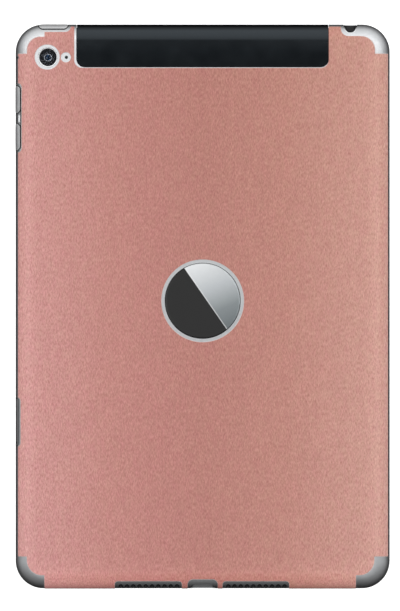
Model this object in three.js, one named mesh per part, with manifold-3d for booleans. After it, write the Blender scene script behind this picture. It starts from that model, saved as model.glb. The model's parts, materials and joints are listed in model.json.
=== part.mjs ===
// An 8-inch-class tablet computer with a cellular radio, lying on its glass with its back up.
// Millimetres. X runs across the back, Y runs up to the edge with the headphone jack, Z leaves the back.
// The origin is the centre of the glass's outer face.
import * as THREE from 'three';
import { mergeVertices } from 'three/addons/utils/BufferGeometryUtils.js';
import Module from 'manifold-3d';

const wasm = await Module();
wasm.setup();

// ---------- driving dimensions ----------

// Body outline and edge profile
const WIDTH = 134.8;
const LENGTH = 203.2;
const CORNER_R = 10;
const RIM_Z = 0.4;
const RIM_CHAMFER = 0.5;
const SIDE_TOP_Z = 1.5;
const EDGE_RUN = 6;
const EDGE_RISE = 4.6;
const BACK_Z = SIDE_TOP_Z + EDGE_RISE;
const CORNER_STEPS = 8;
const EDGE_STEPS = 6;

// Walls and cavity
const WALL = 3.4;
const BACK_WALL = 0.9;
const CEILING_Z = BACK_Z - BACK_WALL;
const GLASS_SEAT_Z = 1.1;
const GLASS_SEAT_INSET = 0.9;
const LEFT_WALL_X = -WIDTH / 2 + WALL;
const TOP_WALL_Y = LENGTH / 2 - WALL;

// Glass, mask and display
const GLASS_INSET = 1.2;
const GLASS_T = 0.7;
const MASK_T = 0.1;
const VIEW_W = 120.4;
const VIEW_L = 160.5;
const PANEL_W = 124;
const PANEL_L = 164;
const PANEL_TOP_Z = 1.9;
const BACKLIGHT_TOP_Z = 2.6;

// Antenna window across the top of the back
const WINDOW_HALF_W = 45.35;
const WINDOW_BOTTOM_Y = 86.05;
const WINDOW_R = 2.9;
const WINDOW_GAP = 0.2;

// Round inlay on the back
const BADGE_Y = 2;
const BADGE_R = 13.5;
const BADGE_T = 0.5;
const BADGE_GAP = 0.15;
const BADGE_RIM = 1.3;

// Rear camera and microphone
const CAMERA_X = -55.65;
const CAMERA_Y = 89.55;
const CAMERA_HOLE_R = 3.62;
const CAMERA_RING_R = 3.52;
const CAMERA_LENS_R = 3.1;
const MIC_X = -49;
const MIC_R = 0.45;

// Buttons on the edges
const BUTTON_Z = 3.3;
const BUTTON_HALF_H = 1.45;
const BUTTON_GAP = 0.25;
const BUTTON_PROUD = 0.1;
const FLANGE_HALF_H = 1.8;
const POWER_X = [-59, -48.5];
const VOLUME_UP_Y = [69.5, 79.45];
const VOLUME_DOWN_Y = [56.1, 65.8];

// Home button on the glass side
const HOME_Y = -90.9;
const HOME_R = 5.1;
const HOME_RING_R = 5.6;
const HOME_HOLE_R = 5.75;
const HOME_RECESS = 0.15;

// Front camera
const FRONT_CAMERA_Y = 90.9;
const FRONT_CAMERA_R = 1.5;

// Sockets and sound openings
const JACK_X = 53.15;
const JACK_Z = 3.2;
const JACK_HOLE_R = 2;
const JACK_BORE_R = 1.75;
const JACK_LIP_R = 2.45;
const LIP_DEPTH = 0.35;
const PORT_Z = 3.15;
const PORT_HALF_W = 4.2;
const PORT_HALF_H = 1.3;
const SOUND_X = 19.35;
const SOUND_Z = 3.65;
const SOUND_R = 0.75;
const SOUND_PITCH = 2.25;
const SOUND_COUNT = 10;
const SIDE_MIC_Z = 3.6;
const SIDE_MIC_R = 0.4;

// SIM tray in the left edge
const TRAY_Y = [-50.2, -33.1];
const TRAY_Z = 3;
const TRAY_HALF_H = 1.1;
const TRAY_GAP = 0.2;
const TRAY_PLATE_X = -65.9;
const TRAY_FRAME_Y = [-47.8, -34.2];
const TRAY_FRAME_X = -50.6;
const TRAY_FRAME_Z = [2.9, 3.8];
const EJECT_Y = -49.1;
const EJECT_R = 0.5;
const CARD_SIZE = [8.8, 12.3, 0.67];

// Vinyl wrap stuck on the back and edges
const WRAP_GAP = 0.03;
const WRAP_T = 0.2;
const WRAP_LEFT_Z = 4.2;
const WRAP_RIGHT_Z = 3.9;
const WRAP_TOP_Z = 4.15;
const WRAP_BOTTOM_Z = 2.4;

// Inside
const BOARD_X = [48.5, 62.2];
const BOARD_Y = [-70, 81];
const BOARD_Z = [3.4, 4.2];
const CELL_X = [0.75, 47];
const CELL_Y = [-72, 58];
const CELL_Z = [2.8, 5];
const SCREW_HEAD_R = 1.1;
const SCREW_HEAD_T = 0.5;
const SCREW_R = 0.55;
const POST_R = 1.6;
const PILOT_R = 0.65;

// Facets of arcs and circles, and a length that reaches past the body
const ARC_STEPS = 6;
const ROUND = 32;
const FINE_ROUND = 48;
const SMALL_ROUND = 16;
const TINY_ROUND = 10;
const FAR = 20;

// ---------- materials ----------

function material(color, roughness, metalness) {
  return new THREE.MeshStandardMaterial({ color, roughness, metalness });
}

const aluminium = material(0xc9ced3, 0.38, 0.85);
const vinyl = material(0xc48b80, 0.42, 0.25);
const blackGloss = material(0x15181b, 0.12, 0);
const badgeMetal = material(0x8d9497, 0.2, 0.9);
const glass = material(0x1a1d20, 0.05, 0);
const maskInk = material(0x0b0b0c, 0.5, 0);
const displayBlack = material(0x0d0f12, 0.2, 0);
const whitePlastic = material(0xd9dbdc, 0.5, 0);
const blackRubber = material(0x1c1c1e, 0.8, 0);
const steel = material(0xb9bdc1, 0.25, 1);
const lensGlass = material(0x0c1016, 0.04, 0);
const blackPlastic = material(0x1b1c1e, 0.5, 0);
const boardGreen = material(0x1f3b33, 0.6, 0);
const copperFlex = material(0xb06a2c, 0.5, 0.3);
const cellFoil = material(0x2b2d30, 0.45, 0.4);
const magnetNickel = material(0xa8abad, 0.3, 0.9);
const meshCloth = material(0x222325, 0.85, 0);
const gold = material(0xd1aa55, 0.3, 0.9);

// ---------- solid helpers ----------

// A closed three.js geometry as a manifold solid.
function solid(geometry) {
  const bare = geometry.clone();
  bare.deleteAttribute('normal');
  bare.deleteAttribute('uv');
  const merged = mergeVertices(bare, 1e-4);
  const triVerts = new Uint32Array(merged.index.array);
  const vertProperties = merged.attributes.position.array;
  return new wasm.Manifold(new wasm.Mesh({ numProp: 3, vertProperties, triVerts }));
}

// A manifold solid as a three.js geometry.
function geometryOf(body) {
  const mesh = body.getMesh();
  const geometry = new THREE.BufferGeometry();
  geometry.setAttribute('position', new THREE.BufferAttribute(new Float32Array(mesh.vertProperties), 3));
  geometry.setIndex(new THREE.BufferAttribute(new Uint32Array(mesh.triVerts), 1));
  geometry.computeVertexNormals();
  return geometry;
}

// A rectangle with round corners, from a low corner to a high one.
function roundedRect(u0, v0, u1, v1, r) {
  const shape = new THREE.Shape();
  if (r === 0) {
    shape.moveTo(u0, v0);
    shape.lineTo(u1, v0);
    shape.lineTo(u1, v1);
    shape.lineTo(u0, v1);
    return shape;
  }
  shape.moveTo(u0 + r, v0);
  shape.absarc(u1 - r, v0 + r, r, -Math.PI / 2, 0);
  shape.absarc(u1 - r, v1 - r, r, 0, Math.PI / 2);
  shape.absarc(u0 + r, v1 - r, r, Math.PI / 2, Math.PI);
  shape.absarc(u0 + r, v0 + r, r, Math.PI, Math.PI * 1.5);
  return shape;
}

function circle(u, v, r) {
  return new THREE.Shape().absarc(u, v, r, 0, Math.PI * 2);
}

// ExtrudeGeometry makes two segments of an arc for each of its curveSegments.
function extrude(shape, depth, segments) {
  return new THREE.ExtrudeGeometry(shape, { depth, bevelEnabled: false, curveSegments: segments / 2 });
}

// A shape drawn in X and Y, pushed from z0 to z1.
function prismZ(shape, z0, z1, segments = ARC_STEPS) {
  return solid(extrude(shape, z1 - z0, segments).translate(0, 0, z0));
}

// A shape drawn in Y and Z, pushed from x0 to x1.
function prismX(shape, x0, x1, segments = ARC_STEPS) {
  const turn = new THREE.Matrix4().makeBasis(
    new THREE.Vector3(0, 1, 0),
    new THREE.Vector3(0, 0, 1),
    new THREE.Vector3(1, 0, 0),
  );
  return solid(extrude(shape, x1 - x0, segments).applyMatrix4(turn).translate(x0, 0, 0));
}

// A shape drawn in X and Z, pushed from y0 to y1.
function prismY(shape, y0, y1, segments = ARC_STEPS) {
  const turn = new THREE.Matrix4().makeBasis(
    new THREE.Vector3(1, 0, 0),
    new THREE.Vector3(0, 0, 1),
    new THREE.Vector3(0, -1, 0),
  );
  return solid(extrude(shape, y1 - y0, segments).applyMatrix4(turn).translate(0, y1, 0));
}

function box(x, y, z) {
  const geometry = new THREE.BoxGeometry(x[1] - x[0], y[1] - y[0], z[1] - z[0]);
  return solid(geometry.translate((x[0] + x[1]) / 2, (y[0] + y[1]) / 2, (z[0] + z[1]) / 2));
}

function disc(x, y, r, z0, z1, segments = ROUND) {
  return prismZ(circle(x, y, r), z0, z1, segments);
}

// A ring or disc turned about a Z axis from [radius, z] points that close on themselves.
function turned(profile, x, y, segments = ROUND) {
  const points = [...profile, profile[0]].map(([r, z]) => new THREE.Vector2(r, z));
  const geometry = new THREE.LatheGeometry(points, segments);
  return solid(geometry.rotateX(Math.PI / 2).translate(x, y, 0));
}

function union(first, ...others) {
  return others.reduce((sum, next) => sum.add(next), first);
}

function cut(first, ...others) {
  return others.reduce((rest, next) => rest.subtract(next), first);
}

// ---------- the body's outer form ----------

// The body's outline, moved inwards: straight sides and four corner arcs.
function bodyOutline(inset) {
  const r = CORNER_R - inset;
  const cx = WIDTH / 2 - CORNER_R;
  const cy = LENGTH / 2 - CORNER_R;
  const corners = [[cx, cy], [-cx, cy], [-cx, -cy], [cx, -cy]];
  return corners.flatMap(([x, y], quarter) =>
    Array.from({ length: CORNER_STEPS + 1 }, (_, step) => {
      const angle = (quarter + step / CORNER_STEPS) * Math.PI / 2;
      return [x + r * Math.cos(angle), y + r * Math.sin(angle)];
    }));
}

function outlinePrism(inset, z0, z1) {
  const shape = new THREE.Shape(bodyOutline(inset).map(([x, y]) => new THREE.Vector2(x, y)));
  return prismZ(shape, z0, z1);
}

// A closed stack of outlines, one for each [inset, z] station, from the glass side up.
function loft(stations) {
  const rings = stations.map(([inset, z]) => bodyOutline(inset).map(([x, y]) => [x, y, z]));
  const count = rings[0].length;
  const positions = rings.flat(2);
  const bottom = rings.length * count;
  const top = bottom + 1;
  positions.push(0, 0, stations[0][1]);
  positions.push(0, 0, stations.at(-1)[1]);
  const faces = [];
  const last = (rings.length - 1) * count;
  for (let j = 0; j < count; j += 1) {
    const k = (j + 1) % count;
    faces.push(bottom, k, j);
    faces.push(top, last + j, last + k);
    for (let low = 0; low < last; low += count) {
      faces.push(low + j, low + k, low + count + k);
      faces.push(low + j, low + count + k, low + count + j);
    }
  }
  const geometry = new THREE.BufferGeometry();
  geometry.setAttribute('position', new THREE.Float32BufferAttribute(positions, 3));
  geometry.setIndex(faces);
  return solid(geometry);
}

// The outer form: rim chamfer, short upright side, then a quarter ellipse on to the flat back.
function bodyForm(offset = 0) {
  const stations = [[RIM_CHAMFER - offset, RIM_Z], [-offset, RIM_Z + RIM_CHAMFER]];
  for (let step = 0; step <= EDGE_STEPS; step += 1) {
    const angle = step / EDGE_STEPS * Math.PI / 2;
    const inset = (EDGE_RUN + offset) * (1 - Math.cos(angle)) - offset;
    stations.push([inset, SIDE_TOP_Z + (EDGE_RISE + offset) * Math.sin(angle)]);
  }
  return loft(stations);
}

function windowShape(grow) {
  const half = WINDOW_HALF_W + grow;
  return roundedRect(-half, WINDOW_BOTTOM_Y - grow, half, LENGTH / 2 + FAR, WINDOW_R + grow);
}

function pill(u0, u1, v, halfHeight, grow = 0) {
  const r = halfHeight + grow;
  return roundedRect(u0 - grow, v - r, u1 + grow, v + r, r - 1e-3);
}

function tub() {
  const cavity = outlinePrism(WALL, 0, CEILING_Z);
  const seat = outlinePrism(GLASS_SEAT_INSET, 0, GLASS_SEAT_Z);
  return cut(bodyForm(), cavity, seat);
}

// ---------- screws and their posts ----------

const boardScrews = [[50.9, -66], [60.1, -20], [50.9, 34], [60.1, 77]];
const portScrews = [[-7.4, -88], [7.4, -88]];
const plainScrews = [...boardScrews, ...portScrews];

function screw([x, y]) {
  const head = disc(x, y, SCREW_HEAD_R, BOARD_Z[0] - SCREW_HEAD_T, BOARD_Z[0], SMALL_ROUND);
  return head.add(disc(x, y, SCREW_R, BOARD_Z[0] - 0.1, CEILING_Z - 0.3, TINY_ROUND));
}

function post([x, y]) {
  return disc(x, y, POST_R, BOARD_Z[1], CEILING_Z + 0.2, SMALL_ROUND);
}

function pilot([x, y]) {
  return disc(x, y, PILOT_R, BOARD_Z[1] - 1, CEILING_Z - 0.15, TINY_ROUND);
}

// ---------- rear shell and what is set into it ----------

function lip(cutter) {
  return cutter.subtract(bodyForm(-LIP_DEPTH));
}

function edgeHoles() {
  const left = -WIDTH / 2;
  const top = LENGTH / 2;
  const out = 3;
  const holes = [
    prismY(circle(JACK_X, JACK_Z, JACK_HOLE_R), TOP_WALL_Y - 1, top + out, ROUND),
    lip(prismY(circle(JACK_X, JACK_Z, JACK_LIP_R), top - 6, top + out, ROUND)),
    prismY(pill(-PORT_HALF_W, PORT_HALF_W, PORT_Z, PORT_HALF_H), -top - out, -TOP_WALL_Y + 1),
    prismY(pill(...POWER_X, BUTTON_Z, BUTTON_HALF_H, BUTTON_GAP), TOP_WALL_Y - 1, top + out),
    prismX(pill(...VOLUME_UP_Y, BUTTON_Z, BUTTON_HALF_H, BUTTON_GAP), left - out, LEFT_WALL_X + 1),
    prismX(pill(...VOLUME_DOWN_Y, BUTTON_Z, BUTTON_HALF_H, BUTTON_GAP), left - out, LEFT_WALL_X + 1),
    prismX(circle(CAMERA_Y, SIDE_MIC_Z, SIDE_MIC_R), left - out, LEFT_WALL_X + 1, TINY_ROUND),
    prismX(pill(...TRAY_Y, TRAY_Z, TRAY_HALF_H, TRAY_GAP), left - out, TRAY_PLATE_X + TRAY_GAP),
    box(
      [TRAY_PLATE_X - 1, LEFT_WALL_X + 1],
      [TRAY_FRAME_Y[0] - TRAY_GAP, TRAY_FRAME_Y[1] + TRAY_GAP],
      [TRAY_FRAME_Z[0] - TRAY_GAP, TRAY_FRAME_Z[1] + TRAY_GAP],
    ),
  ];
  for (const side of [-1, 1]) {
    for (let i = 0; i < SOUND_COUNT; i += 1) {
      const x = side * SOUND_X + (i - (SOUND_COUNT - 1) / 2) * SOUND_PITCH;
      holes.push(prismY(circle(x, SOUND_Z, SOUND_R), -top - out, -TOP_WALL_Y + 1, TINY_ROUND));
    }
  }
  return holes;
}

function rearShell() {
  const shell = cut(
    union(tub(), ...plainScrews.map(post)),
    prismZ(windowShape(WINDOW_GAP / 2), -1, FAR),
    disc(0, BADGE_Y, BADGE_R + BADGE_GAP, BACK_Z - BADGE_T, FAR, FINE_ROUND),
    disc(CAMERA_X, CAMERA_Y, CAMERA_HOLE_R, CEILING_Z - 1, FAR),
    disc(MIC_X, CAMERA_Y, MIC_R, CEILING_Z - 1, FAR, SMALL_ROUND),
    ...plainScrews.map(pilot),
    ...edgeHoles(),
  );
  return shell;
}

function antennaWindow() {
  return tub().intersect(prismZ(windowShape(-WINDOW_GAP / 2), -1, FAR));
}

function badge() {
  const bevel = 0.08;
  const floor = BACK_Z - BADGE_T;
  return turned(
    [[0, floor], [BADGE_R, floor], [BADGE_R, BACK_Z - bevel], [BADGE_R - bevel, BACK_Z], [0, BACK_Z]],
    0,
    BADGE_Y,
    FINE_ROUND,
  );
}

// ---------- vinyl wrap ----------

// Cut-outs through the wrap, each drawn on the back or on the edge that it opens.
function wrapCutouts() {
  const right = WIDTH / 2;
  const top = LENGTH / 2;
  const beyond = 5;
  const cutters = [
    prismZ(roundedRect(-46.2, 85.75, 45.35, top + FAR, WINDOW_R), -1, FAR),
    disc(CAMERA_X - 0.25, CAMERA_Y + 0.1, 4.45, 1, FAR),
    disc(MIC_X - 0.2, CAMERA_Y, 1.75, 1, FAR),
    disc(0, BADGE_Y, BADGE_R + BADGE_RIM, 1, FAR, FINE_ROUND),
    prismZ(roundedRect(-64, 98.8, -47.5, top + beyond, 2), -1, FAR),
    prismZ(roundedRect(49.8, 97.3, 64, top + beyond, 2.6), -1, FAR),
    prismZ(roundedRect(-31.6, -top - beyond, -7.5, -top + 2.7, 1.2), -1, FAR),
    prismZ(roundedRect(7.2, -top - beyond, 31.1, -top + 2.7, 1.2), -1, FAR),
    prismZ(roundedRect(-5.4, -top - beyond, 5.4, -top + 3.4, 2), -1, FAR),
    prismZ(roundedRect(-right - beyond, 55.4, -right + 2.2, 80.3, 1.6), -1, FAR),
    prismZ(roundedRect(-right - beyond, -50.4, -right + 1.8, -32.8, 1.4), -1, FAR),
    prismZ(roundedRect(-right - beyond, CAMERA_Y - 0.6, -right + 1.25, CAMERA_Y + 0.6, 0.55), -1, FAR),
  ];
  return cutters;
}

// A corner of the back left bare: the square past two stop lines, outside a rounded inner edge.
function bareCorner(sx, sy, stopX, stopY, innerX, innerY) {
  const reachX = WIDTH / 2 + 5;
  const reachY = LENGTH / 2 + 5;
  const square = roundedRect(
    Math.min(sx * stopX, sx * reachX),
    Math.min(sy * stopY, sy * reachY),
    Math.max(sx * stopX, sx * reachX),
    Math.max(sy * stopY, sy * reachY),
    0,
  );
  const kept = roundedRect(-innerX, -innerY, innerX, innerY, 5);
  return prismZ(square, -1, FAR).subtract(prismZ(kept, -2, FAR + 1));
}

function wrap() {
  const outer = bodyForm(WRAP_GAP + WRAP_T);
  const inner = bodyForm(WRAP_GAP);
  const halfW = WIDTH / 2;
  const halfL = LENGTH / 2;
  const corner = CORNER_R;
  return cut(
    outer,
    inner,
    box([-FAR - halfW, 0], [corner - halfL, halfL - corner], [-1, WRAP_LEFT_Z]),
    box([0, FAR + halfW], [corner - halfL, halfL - corner], [-1, WRAP_RIGHT_Z]),
    box([-FAR - halfW, FAR + halfW], [halfL - corner - 0.5, halfL + FAR], [-1, WRAP_TOP_Z]),
    box([-FAR - halfW, FAR + halfW], [-halfL - FAR, corner + 0.5 - halfL], [-1, WRAP_BOTTOM_Z]),
    bareCorner(-1, 1, 57, 91, 63.3, 97.1),
    bareCorner(1, 1, 57, 91, 62.1, 97.3),
    bareCorner(-1, -1, 57, 90, 63.3, 96.75),
    bareCorner(1, -1, 55.2, 90, 61.8, 96.75),
    ...wrapCutouts(),
  );
}

// ---------- glass side ----------

function coverGlass() {
  return cut(
    outlinePrism(GLASS_INSET, 0, GLASS_T),
    disc(0, HOME_Y, HOME_HOLE_R, -1, 2),
  );
}

function bezelMask() {
  return cut(
    outlinePrism(GLASS_INSET, GLASS_T, GLASS_T + MASK_T),
    box([-VIEW_W / 2, VIEW_W / 2], [-VIEW_L / 2, VIEW_L / 2], [0, 2]),
    disc(0, HOME_Y, HOME_HOLE_R + 0.2, -1, 2),
    disc(0, FRONT_CAMERA_Y, FRONT_CAMERA_R, -1, 2, ROUND),
  );
}

function gasket() {
  const ring = outlinePrism(GLASS_INSET + 0.1, GLASS_T + MASK_T, GLASS_SEAT_Z);
  return cut(ring, outlinePrism(WALL - 0.1, 0, 2), prismZ(windowShape(WINDOW_GAP), -1, 2));
}

function displayPanel() {
  return box([-PANEL_W / 2, PANEL_W / 2], [-PANEL_L / 2, PANEL_L / 2], [GLASS_T + MASK_T, PANEL_TOP_Z]);
}

function backlight() {
  return box([-PANEL_W / 2, PANEL_W / 2], [-PANEL_L / 2, PANEL_L / 2], [PANEL_TOP_Z, BACKLIGHT_TOP_Z]);
}

function homeButton() {
  const face = HOME_RECESS + 0.1;
  return turned(
    [[0, face], [3.6, HOME_RECESS + 0.04], [HOME_R, HOME_RECESS], [HOME_R, 0.95], [6.2, 0.95], [6.2, 1.25], [0, 1.25]],
    0,
    HOME_Y,
  );
}

function homeRing() {
  const inner = HOME_R + 0.08;
  return turned(
    [[inner, HOME_RECESS], [HOME_RING_R - 0.1, 0.12], [HOME_RING_R, 0.2], [HOME_RING_R, 0.9], [inner, 0.9]],
    0,
    HOME_Y,
  );
}

function homeSwitch() {
  return union(
    disc(0, HOME_Y + 3, 1.5, 1.6, 2.1, SMALL_ROUND),
    box([-3, 3], [HOME_Y + 0.8, HOME_Y + 5.2], [2, 2.5]),
  );
}

function homeFlex() {
  return union(
    box([-1.5, 1.5], [-84.5, -74.5], [2.64, 2.74]),
    box([-1.5, 55], [-77.5, -74.5], [2.64, 2.74]),
    box([52, 55], [-77.5, -70.5], [2.64, 2.74]),
  );
}

function frontCamera() {
  return union(
    disc(0, FRONT_CAMERA_Y, FRONT_CAMERA_R - 0.15, 0.75, 2, ROUND),
    box([-3.2, 3.2], [FRONT_CAMERA_Y - 3.2, FRONT_CAMERA_Y + 3.2], [1.9, 4.4]),
  );
}

// ---------- cameras and microphones ----------

function cameraRing() {
  return turned(
    [[CAMERA_LENS_R + 0.1, 5.3], [CAMERA_RING_R, 5.3], [CAMERA_RING_R, BACK_Z],
      [CAMERA_RING_R - 0.1, BACK_Z], [CAMERA_LENS_R + 0.1, BACK_Z - 0.25]],
    CAMERA_X,
    CAMERA_Y,
  );
}

function cameraLens() {
  return disc(CAMERA_X, CAMERA_Y, CAMERA_LENS_R, 5.4, 5.85);
}

function cameraBarrel() {
  return turned(
    [[1.1, 4.9], [2.7, 4.9], [2.7, 5.35], [2, 5.35], [1.1, 5.1]],
    CAMERA_X,
    CAMERA_Y,
  );
}

function cameraModule() {
  const half = 4.3;
  const plate = roundedRect(CAMERA_X - half, CAMERA_Y - half, CAMERA_X + half, CAMERA_Y + half, 0.8);
  return prismZ(plate, 2.75, 4.85);
}

function rearMicrophone() {
  return cut(
    box([MIC_X - 1.5, MIC_X + 1.5], [CAMERA_Y - 1.9, CAMERA_Y + 1.9], [4.1, 5.15]),
    disc(MIC_X, CAMERA_Y, MIC_R, 4.6, FAR, SMALL_ROUND),
  );
}

function sideMicrophone() {
  return cut(
    box([LEFT_WALL_X + 0.1, LEFT_WALL_X + 1.5], [CAMERA_Y - 1.4, CAMERA_Y + 1.4], [2.8, 4.4]),
    prismX(circle(CAMERA_Y, SIDE_MIC_Z, SIDE_MIC_R), LEFT_WALL_X - 1, LEFT_WALL_X + 0.8, TINY_ROUND),
  );
}

// ---------- buttons ----------

function powerButton() {
  const cap = prismY(pill(...POWER_X, BUTTON_Z, BUTTON_HALF_H), 99.4, LENGTH / 2 + 2)
    .intersect(bodyForm(BUTTON_PROUD));
  return union(
    cap,
    prismY(pill(POWER_X[0] + 1.5, POWER_X[1] - 1.5, BUTTON_Z, 0.9), 97.6, 99.8),
    box([POWER_X[0] - 0.2, POWER_X[1] + 0.9], [97.35, 97.85], [BUTTON_Z - FLANGE_HALF_H, BUTTON_Z + FLANGE_HALF_H]),
  );
}

function volumeButton([y0, y1]) {
  const cap = prismX(pill(y0, y1, BUTTON_Z, BUTTON_HALF_H), -WIDTH / 2 - 2, -65.2)
    .intersect(bodyForm(BUTTON_PROUD));
  return union(
    cap,
    prismX(pill(y0 + 1.5, y1 - 1.5, BUTTON_Z, 0.9), -65.6, -63.7),
    box([-63.9, -63.4], [y0 - 0.9, y1 + 0.9], [BUTTON_Z - FLANGE_HALF_H, BUTTON_Z + FLANGE_HALF_H]),
  );
}

function powerSwitch() {
  return union(
    box([-57.5, -50], [95.5, 96.2], [1.8, 4.4]),
    prismY(circle((POWER_X[0] + POWER_X[1]) / 2, BUTTON_Z, 1.3), 96.1, 96.95, SMALL_ROUND),
  );
}

function volumeSwitches() {
  const middles = [VOLUME_UP_Y, VOLUME_DOWN_Y].map(([y0, y1]) => (y0 + y1) / 2);
  return union(
    box([-62.6, -62.1], [VOLUME_DOWN_Y[0] - 1, VOLUME_UP_Y[1] + 1], [1.8, 4.4]),
    ...middles.map((y) => prismX(circle(y, BUTTON_Z, 1.3), -63, -62.5, SMALL_ROUND)),
  );
}

// ---------- SIM tray ----------

function simTray() {
  const plate = prismX(pill(...TRAY_Y, TRAY_Z, TRAY_HALF_H), -WIDTH / 2 - 2, TRAY_PLATE_X)
    .intersect(bodyForm());
  const frame = box([TRAY_PLATE_X - 0.2, TRAY_FRAME_X], TRAY_FRAME_Y, TRAY_FRAME_Z);
  const pocketX = [TRAY_FRAME_X - 1 - CARD_SIZE[0] - 0.4, TRAY_FRAME_X - 1];
  const pocketY = [TRAY_FRAME_Y[0] + 0.5, TRAY_FRAME_Y[0] + 0.5 + CARD_SIZE[1] + 0.3];
  return cut(
    plate.add(frame),
    box(pocketX, pocketY, [TRAY_FRAME_Z[0] + 0.15, FAR]),
    box([pocketX[0] + 0.8, pocketX[1] - 0.8], [pocketY[0] + 0.8, pocketY[1] - 0.8], [0, FAR]),
    prismX(circle(EJECT_Y, TRAY_Z, EJECT_R), -WIDTH / 2 - 2, TRAY_PLATE_X + 1, SMALL_ROUND),
  );
}

function simCard() {
  const x1 = TRAY_FRAME_X - 1.2;
  const y0 = TRAY_FRAME_Y[0] + 0.65;
  const [w, l, t] = CARD_SIZE;
  const clipped = 1.6;
  const z = TRAY_FRAME_Z[0] + 0.15;
  const shape = new THREE.Shape();
  shape.moveTo(x1 - w, y0);
  shape.lineTo(x1, y0);
  shape.lineTo(x1, y0 + l - clipped);
  shape.lineTo(x1 - clipped, y0 + l);
  shape.lineTo(x1 - w, y0 + l);
  return prismZ(shape, z, z + t);
}

function simReader() {
  const clear = 0.15;
  return cut(
    box([-63.6, -49.4], [-51, -32.6], [2.65, 4.7]),
    box(
      [-64, TRAY_FRAME_X + 0.5],
      [TRAY_FRAME_Y[0] - clear, TRAY_FRAME_Y[1] + clear],
      [TRAY_FRAME_Z[0] - clear, TRAY_FRAME_Z[1] + clear],
    ),
  );
}

// ---------- sockets and loudspeakers ----------

function headphoneJack() {
  return cut(
    box([JACK_X - 3.2, JACK_X + 3.2], [83.6, TOP_WALL_Y - 0.1], [1.15, 5.1]),
    prismY(circle(JACK_X, JACK_Z, JACK_BORE_R), 84.4, TOP_WALL_Y + 1, ROUND),
  );
}

function chargingPort() {
  const tongue = box([-3.1, 3.1], [-97.5, -91.5], [PORT_Z - 0.35, PORT_Z + 0.35]);
  return cut(
    prismY(roundedRect(-5.4, 1.6, 5.4, 4.9, 1), -TOP_WALL_Y + 0.1, -90.8),
    prismY(pill(-PORT_HALF_W, PORT_HALF_W, PORT_Z, PORT_HALF_H), -TOP_WALL_Y - 1, -91.8),
  ).add(tongue);
}

function mirrored(x, side) {
  return x.map((v) => v * side).sort((a, b) => a - b);
}

function loudspeaker(side) {
  const chamber = union(
    box(mirrored([9.4, 32.5], side), [-97, -85.2], [2.75, 5.1]),
    box(mirrored([8.2, 12], side), [-97, -91], [2.75, 5.1]),
  );
  return chamber.subtract(box(mirrored([8.4, 30.6], side), [-98, -95.4], [2.9, 4.4]));
}

function speakerMesh(side) {
  const x = side * SOUND_X;
  return box([x - 11.8, x + 11.8], [-98, -97.7], [2.7, 4.6]);
}

// ---------- inside ----------

function batteryCell(side) {
  const x = mirrored(CELL_X, side);
  return prismZ(roundedRect(x[0], CELL_Y[0], x[1], CELL_Y[1], 1.5), ...CELL_Z);
}

function logicBoard() {
  const outline = roundedRect(BOARD_X[0], BOARD_Y[0], BOARD_X[1], BOARD_Y[1], 1);
  const holes = boardScrews.map(([x, y]) => disc(x, y, 0.8, 0, FAR, TINY_ROUND));
  return cut(prismZ(outline, ...BOARD_Z), ...holes);
}

function shield(y0, y1) {
  return prismZ(roundedRect(49.5, y0, 61.5, y1, 0.6), BOARD_Z[1], 5.05);
}

function portBracket() {
  const holes = portScrews.map(([x, y]) => disc(x, y, 0.8, 0, FAR, TINY_ROUND));
  return union(
    cut(prismZ(roundedRect(-9.1, -89.6, 9.1, -86.4, 1), ...BOARD_Z), ...holes),
    box([-4, 4], [-90.4, -89.5], [BOARD_Z[0], 5.12]),
    box([-4, 4], [-96, -89.6], [4.95, 5.12]),
  );
}

function antenna(side) {
  const x = mirrored([9, 40], side);
  return prismZ(roundedRect(x[0], 87.6, x[1], 97.6, 0.8), 4.2, 5.1);
}

function magnet(x, y) {
  return box([x - 0.75, x + 0.75], [y - 6, y + 6], [1.5, 4.6]);
}

// ---------- assembly ----------

const tablet = new THREE.Group();

function place(name, body, look) {
  const mesh = new THREE.Mesh(geometryOf(body), look);
  mesh.name = name;
  tablet.add(mesh);
}

place('rear_shell', rearShell(), aluminium);
place('vinyl_wrap', wrap(), vinyl);
place('antenna_window', antennaWindow(), blackGloss);
place('badge_inlay', badge(), badgeMetal);

place('cover_glass', coverGlass(), glass);
place('bezel_mask', bezelMask(), maskInk);
place('glass_gasket', gasket(), blackRubber);
place('display_panel', displayPanel(), displayBlack);
place('display_backlight', backlight(), whitePlastic);
place('home_button', homeButton(), blackGloss);
place('home_button_ring', homeRing(), steel);
place('home_switch', homeSwitch(), steel);
place('home_flex', homeFlex(), copperFlex);
place('front_camera', frontCamera(), blackPlastic);

place('rear_camera_ring', cameraRing(), steel);
place('rear_camera_glass', cameraLens(), lensGlass);
place('rear_camera_barrel', cameraBarrel(), blackPlastic);
place('rear_camera_module', cameraModule(), blackPlastic);
place('rear_microphone', rearMicrophone(), steel);
place('side_microphone', sideMicrophone(), steel);

place('power_button', powerButton(), aluminium);
place('volume_up_button', volumeButton(VOLUME_UP_Y), aluminium);
place('volume_down_button', volumeButton(VOLUME_DOWN_Y), aluminium);
place('power_switch', powerSwitch(), steel);
place('volume_switches', volumeSwitches(), steel);

place('sim_tray', simTray(), aluminium);
place('sim_card', simCard(), gold);
place('sim_reader', simReader(), steel);

place('headphone_jack', headphoneJack(), blackPlastic);
place('charging_port', chargingPort(), steel);
place('port_bracket', portBracket(), steel);
for (const [side, name] of [[-1, 'left'], [1, 'right']]) {
  place(`loudspeaker_${name}`, loudspeaker(side), blackPlastic);
  place(`speaker_mesh_${name}`, speakerMesh(side), meshCloth);
  place(`battery_cell_${name}`, batteryCell(side), cellFoil);
  place(`antenna_${name}`, antenna(side), copperFlex);
}

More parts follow.
